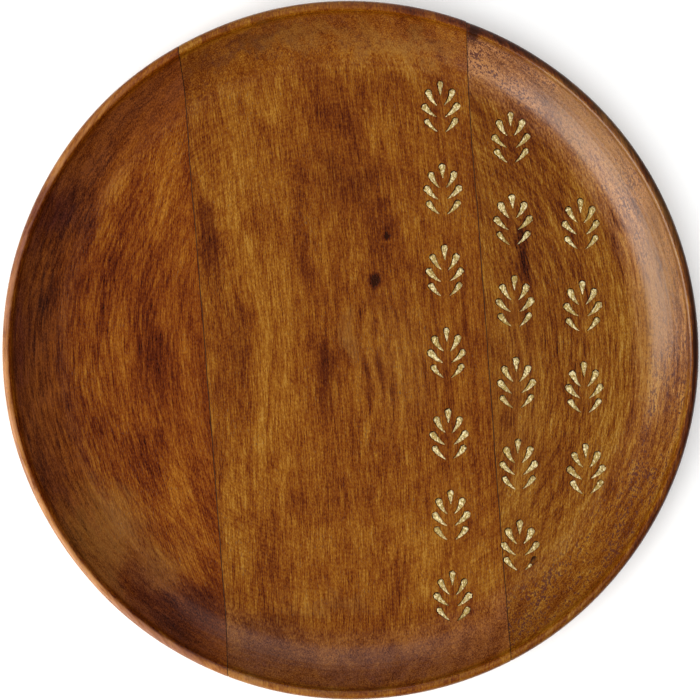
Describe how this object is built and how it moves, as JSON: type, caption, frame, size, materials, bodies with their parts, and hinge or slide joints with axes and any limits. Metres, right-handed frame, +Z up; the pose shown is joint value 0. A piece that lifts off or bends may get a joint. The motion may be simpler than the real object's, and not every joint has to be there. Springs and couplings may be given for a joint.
{
  "type": "round serving tray",
  "caption": "Round turned wooden serving tray with a low rounded rim, made of glued boards and inlaid with brass sprigs.",
  "frame": {"origin": "middle of the underside, on the surface that the tray stands on", "axes": "+Z up out of the tray, +Y along the boards and their grain, +X towards the inlaid side"},
  "size_m": [0.305, 0.305, 0.03],
  "materials": {
    "wood_left": "hand-rubbed stain, semi-gloss",
    "wood_centre": "hand-rubbed stain, semi-gloss",
    "wood_right": "hand-rubbed stain, semi-gloss",
    "glue": "dark dried glue and wax",
    "brass": "brushed, unlacquered"
  },
  "bodies": {
    "root": {"board_left": "wood_left", "board_centre": "wood_centre", "board_right": "wood_right", "glue_line_left": "glue", "glue_line_right": "glue", "sprig_inner_1": "brass", "sprig_inner_2": "brass", "sprig_inner_3": "brass", "sprig_inner_4": "brass", "sprig_inner_5": "brass", "sprig_inner_6": "brass", "sprig_inner_7": "brass", "sprig_middle_1": "brass", "sprig_middle_2": "brass", "sprig_middle_3": "brass", "sprig_middle_4": "brass", "sprig_middle_5": "brass", "sprig_middle_6": "brass", "sprig_outer_1": "brass", "sprig_outer_2": "brass", "sprig_outer_3": "brass", "sprig_outer_4": "brass"}
  },
  "joints": []
}
